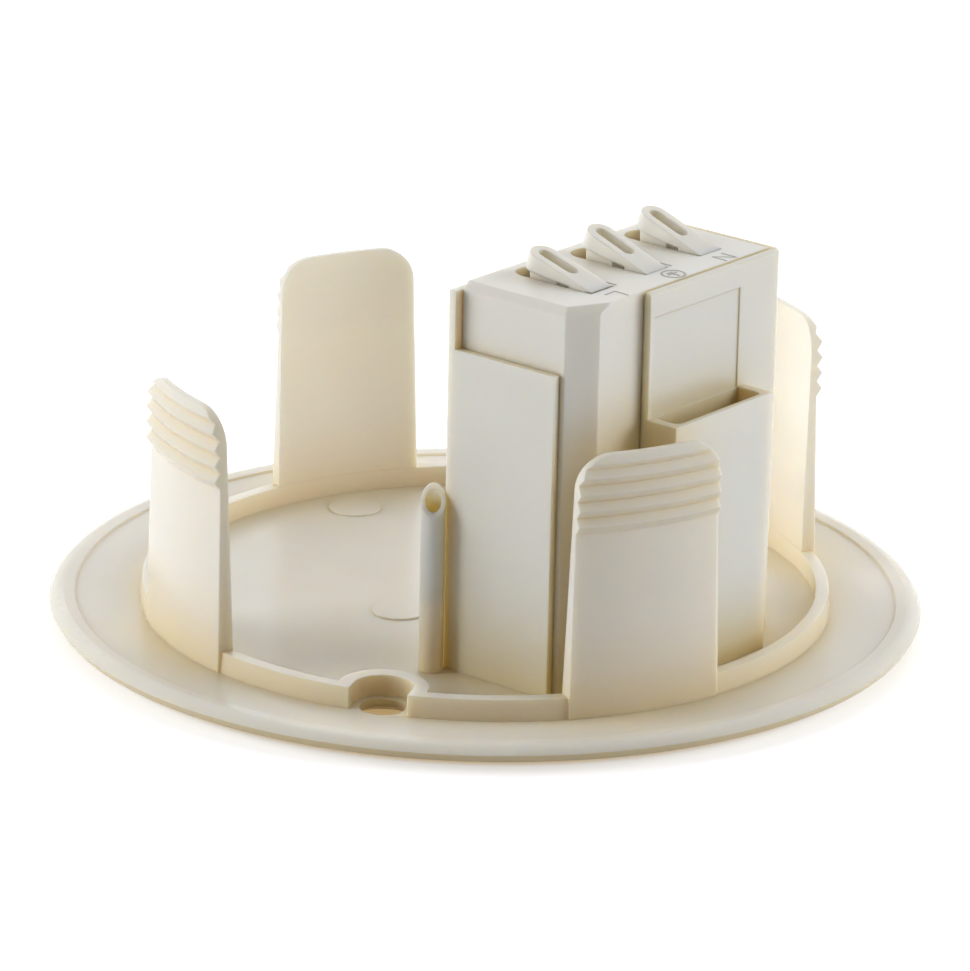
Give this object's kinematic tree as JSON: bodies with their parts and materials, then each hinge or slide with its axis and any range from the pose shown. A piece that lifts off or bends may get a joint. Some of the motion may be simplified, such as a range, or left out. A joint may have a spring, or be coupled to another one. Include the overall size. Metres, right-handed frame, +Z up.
{
  "type": "light point cover",
  "caption": "Round ceiling light point cover with toothed box claws and a built-in lamp plug socket with sprung wire release levers.",
  "frame": {"origin": "centre of the round plate on its visible face, on which the cover lies", "axes": "+Z up from the visible face through the claws; X along the row of levers; Y across the socket, the socket at -Y"},
  "size_m": [0.08, 0.08, 0.0401],
  "materials": {
    "cover_plastic": "slightly glossy ivory moulding",
    "housing_plastic": "satin off-white moulding",
    "carrier_plastic": "satin off-white moulding",
    "lever_plastic": "satin off-white moulding",
    "contact_brass": "pressed brass strip",
    "spring_steel": "stainless spring strip"
  },
  "bodies": {
    "cover_body": {"cover": "cover_plastic", "terminal_housing": "housing_plastic", "contact_carrier": "carrier_plastic", "contact_live": "contact_brass", "clamp_spring_live": "spring_steel", "contact_earth": "contact_brass", "clamp_spring_earth": "spring_steel", "contact_neutral": "contact_brass", "clamp_spring_neutral": "spring_steel"},
    "lever_live_body": {"lever_live": "lever_plastic"},
    "lever_earth_body": {"lever_earth": "lever_plastic"},
    "lever_neutral_body": {"lever_neutral": "lever_plastic"}
  },
  "joints": [
    {"name": "lever_live_press", "type": "hinge", "parent": "cover_body", "child": "lever_live_body", "pos_m": [-0.00945, -0.0189, 0.0358], "axis": [-1, 0, 0], "range_deg": [0, 15], "stiffness_Nm_per_rad": 0.02, "springref_deg": -5.73},
    {"name": "lever_earth_press", "type": "hinge", "parent": "cover_body", "child": "lever_earth_body", "pos_m": [-0.0018, -0.0189, 0.0358], "axis": [-1, 0, 0], "range_deg": [0, 15], "stiffness_Nm_per_rad": 0.02, "springref_deg": -5.73},
    {"name": "lever_neutral_press", "type": "hinge", "parent": "cover_body", "child": "lever_neutral_body", "pos_m": [0.00585, -0.0189, 0.0358], "axis": [-1, 0, 0], "range_deg": [0, 15], "stiffness_Nm_per_rad": 0.02, "springref_deg": -5.73}
  ]
}
